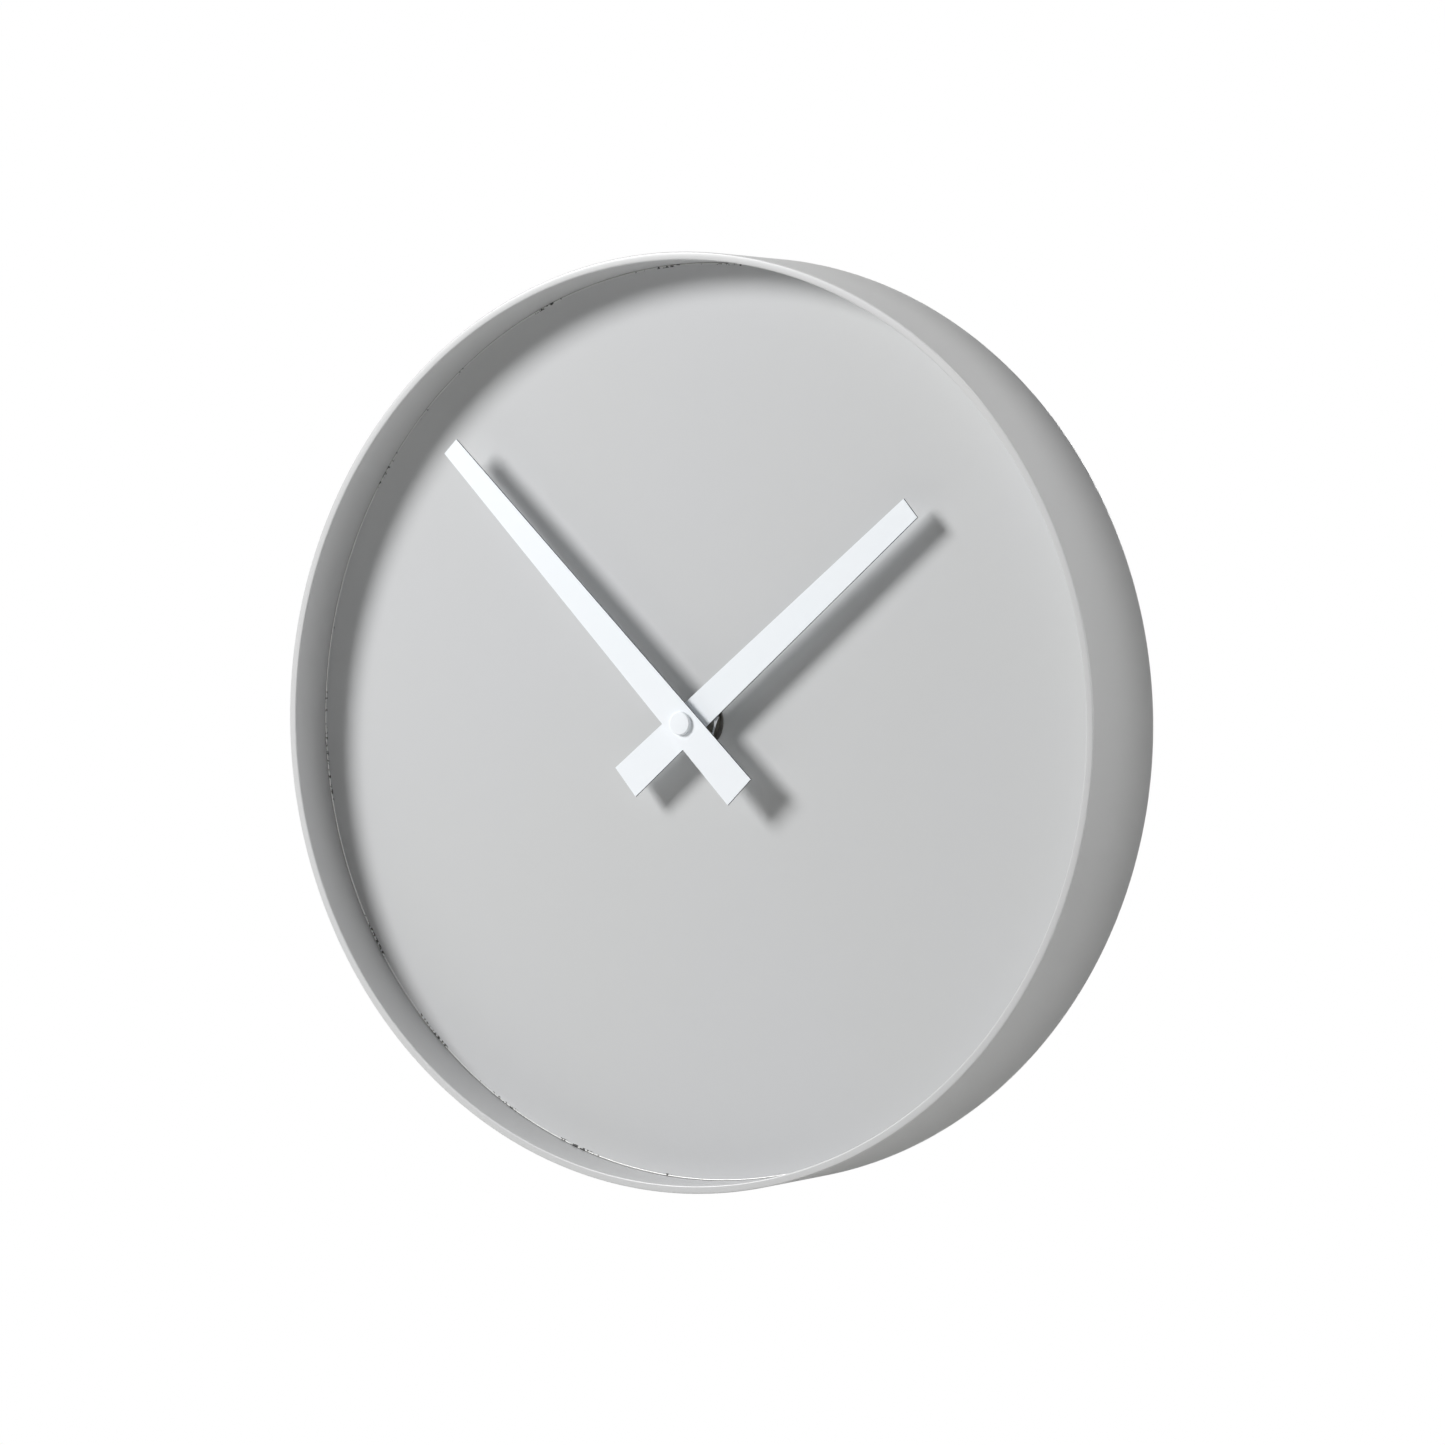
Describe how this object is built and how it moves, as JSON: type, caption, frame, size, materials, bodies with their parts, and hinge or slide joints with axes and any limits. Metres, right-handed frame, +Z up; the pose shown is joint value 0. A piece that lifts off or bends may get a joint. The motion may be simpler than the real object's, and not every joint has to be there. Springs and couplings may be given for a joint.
{
  "type": "wall clock",
  "caption": "Round wall clock: deep drum case, plain recessed dial, two bar hands, quartz movement behind the dial, keyhole hanger.",
  "frame": {"origin": "centre of the case's back ring, in the wall plane, on the axis of the hands", "axes": "+Y into the wall, front faces -Y, +Z up towards twelve"},
  "size_m": [0.3, 0.0422, 0.3],
  "materials": {
    "case_paint": "satin light grey powder coat",
    "dial_paint": "matt light grey powder coat",
    "zinc_steel": "zinc plated",
    "black_steel": "dark blackened steel",
    "housing_abs": "moulded black",
    "brass": "turned",
    "black_rubber": "moulded",
    "spring_steel": "nickel plated",
    "circuit_board": "solder mask",
    "coil_copper": "enamelled copper wire",
    "stator_steel": "stamped",
    "rotor_magnet": "sintered magnet",
    "gear_plastic": "moulded natural acetal",
    "hand_paint": "painted white",
    "cell_jacket": "printed jacket, plain"
  },
  "bodies": {
    "case": {"case_top": "case_paint", "case_bottom": "case_paint", "back_ring": "case_paint", "dial_plate": "dial_paint", "dial_studs": "zinc_steel", "dial_brackets": "zinc_steel", "stud_nuts": "zinc_steel", "hanger_plate": "zinc_steel", "hanger_rivets": "zinc_steel", "front_housing": "housing_abs", "rear_housing": "housing_abs", "threaded_bush": "brass", "rubber_washer": "black_rubber", "fixing_washer": "black_steel", "fixing_nut": "black_steel", "motion_pin": "zinc_steel", "battery_spring": "spring_steel", "battery_contact": "spring_steel", "circuit_board": "circuit_board", "quartz_crystal": "spring_steel", "motor_coil": "coil_copper", "stator": "stator_steel"},
    "hour": {"hour_wheel": "gear_plastic", "hour_hand": "hand_paint"},
    "minute": {"minute_arbor": "brass", "minute_hand": "hand_paint", "hand_cap": "hand_paint"},
    "motion": {"motion_wheel": "gear_plastic"},
    "setting": {"setting_knob": "housing_abs"},
    "rotor": {"rotor": "rotor_magnet"},
    "battery": {"battery_cell": "cell_jacket"}
  },
  "joints": [
    {"name": "minute_turn", "type": "hinge", "parent": "case", "child": "minute", "pos_m": [0, -0.03, 0], "axis": [0, 1, 0], "continuous": true},
    {"name": "hour_turn", "type": "hinge", "parent": "case", "child": "hour", "pos_m": [0, -0.03, 0], "axis": [0, 1, 0], "continuous": true},
    {"name": "motion_turn", "type": "hinge", "parent": "case", "child": "motion", "pos_m": [-0.01195, -0.018, 0.00105], "axis": [0, 1, 0], "continuous": true},
    {"name": "setting_turn", "type": "hinge", "parent": "case", "child": "setting", "pos_m": [-0.0057, -0.006, 0.01187], "axis": [0, 1, 0], "continuous": true},
    {"name": "rotor_turn", "type": "hinge", "parent": "case", "child": "rotor", "pos_m": [0.018, -0.012, 0.009], "axis": [0, 1, 0], "continuous": true},
    {"name": "battery_out", "type": "slide", "parent": "case", "child": "battery", "axis": [0, 1, 0], "range_m": [0, 0.022]}
  ],
  "couplings": [
    {"joint": "hour_turn", "follows": "minute_turn", "ratio": 0.083333},
    {"joint": "motion_turn", "follows": "minute_turn", "ratio": -0.33333},
    {"joint": "setting_turn", "follows": "minute_turn", "ratio": 0.85714}
  ]
}
